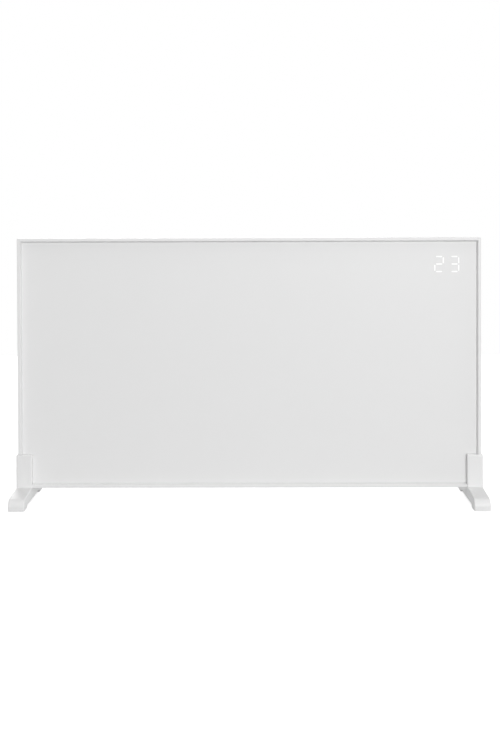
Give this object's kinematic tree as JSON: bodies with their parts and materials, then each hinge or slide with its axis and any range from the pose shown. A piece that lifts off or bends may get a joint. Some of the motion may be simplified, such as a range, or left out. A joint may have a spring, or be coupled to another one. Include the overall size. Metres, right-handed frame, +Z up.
{
  "type": "infrared panel heater",
  "caption": "Freestanding flat infrared panel heater: slim framed panel with a lit two-digit display, clasped at its lower corners by two feet, with rear controls and wall keyholes.",
  "frame": {"origin": "centre of the footprint on the floor, under the middle of the panel", "axes": "+X to the viewer's right along the panel, +Y from front to back, +Z up"},
  "size_m": [1.12, 0.25, 0.632],
  "materials": {
    "frame_paint": "white powder coat, fine satin",
    "panel_paint": "white baked coating, smooth satin with a soft sheen",
    "gasket_white": "matt silicone",
    "lit_plastic": "clear light guide, lit white",
    "dark_plastic": "milky light guide, unlit",
    "cell_plastic": "opaque white moulding",
    "board_green": "solder-masked glass-fibre board",
    "connector_white": "natural nylon",
    "film_black": "carbon film laminate",
    "copper_strip": "bare copper",
    "insulator_buff": "mica and glass laminate",
    "foil_bright": "rolled aluminium foil",
    "mineral_wool": "felted mineral wool",
    "cutout_plastic": "phenolic body with a steel cap",
    "cover_paint": "white pre-painted steel, fine orange peel",
    "zinc_steel": "zinc-plated steel",
    "hanger_steel": "galvanised steel",
    "foot_plastic": "white moulding with a fine satin grain",
    "rubber_black": "matt black rubber",
    "box_plastic": "white spark-eroded texture",
    "relay_plastic": "black moulding",
    "capacitor_sleeve": "shrink sleeve",
    "terminal_plastic": "green polyamide",
    "button_plastic": "light grey moulding",
    "switch_plastic": "black polyamide",
    "gland_plastic": "white polyamide",
    "lead_silicone": "silicone insulation",
    "ribbon_grey": "grey ribbon cable",
    "brass_stud": "machined brass"
  },
  "bodies": {
    "heater": {"frame_top": "frame_paint", "frame_bottom": "frame_paint", "frame_left": "frame_paint", "frame_right": "frame_paint", "corner_keys": "zinc_steel", "corner_screws": "zinc_steel", "front_panel": "panel_paint", "panel_gasket": "gasket_white", "lit_segments": "lit_plastic", "dark_segments": "dark_plastic", "display_housing": "cell_plastic", "display_board": "board_green", "display_connector": "connector_white", "heating_film": "film_black", "busbars": "copper_strip", "insulating_sheet": "insulator_buff", "reflector_foil": "foil_bright", "insulation_mat": "mineral_wool", "thermal_cutout": "cutout_plastic", "rear_cover": "cover_paint", "rear_cover_screws": "zinc_steel", "wall_hangers": "hanger_steel", "hanger_rivets": "zinc_steel", "foot_left": "foot_plastic", "foot_right": "foot_plastic", "foot_screws": "zinc_steel", "rubber_pads": "rubber_black", "control_box": "box_plastic", "control_box_lid": "box_plastic", "lid_screws": "zinc_steel", "main_board": "board_green", "board_screws": "zinc_steel", "relay": "relay_plastic", "transformer": "relay_plastic", "tilt_switch": "relay_plastic", "capacitor": "capacitor_sleeve", "terminal_block": "terminal_plastic", "button_board": "board_green", "tact_switches": "relay_plastic", "switch_body": "switch_plastic", "cable_gland": "gland_plastic", "gland_nut": "gland_plastic", "room_sensor": "gland_plastic", "earth_terminal": "brass_stud", "heater_leads": "lead_silicone", "display_ribbon": "ribbon_grey"},
    "power_key": {"power_button": "button_plastic"},
    "plus_key": {"plus_button": "button_plastic"},
    "minus_key": {"minus_button": "button_plastic"},
    "mode_key": {"mode_button": "button_plastic"},
    "mains_rocker": {"rocker": "switch_plastic"}
  },
  "joints": [
    {"name": "power_press", "type": "slide", "parent": "heater", "child": "power_key", "axis": [-1, 0, 0], "range_m": [0, 0.0008], "stiffness_N_per_m": 250},
    {"name": "plus_press", "type": "slide", "parent": "heater", "child": "plus_key", "axis": [-1, 0, 0], "range_m": [0, 0.0008], "stiffness_N_per_m": 250},
    {"name": "minus_press", "type": "slide", "parent": "heater", "child": "minus_key", "axis": [-1, 0, 0], "range_m": [0, 0.0008], "stiffness_N_per_m": 250},
    {"name": "mode_press", "type": "slide", "parent": "heater", "child": "mode_key", "axis": [-1, 0, 0], "range_m": [0, 0.0008], "stiffness_N_per_m": 250},
    {"name": "mains_rock", "type": "hinge", "parent": "heater", "child": "mains_rocker", "pos_m": [0.505, 0.0316, 0.454], "axis": [0, 1, 0], "range_deg": [0, 16]}
  ]
}
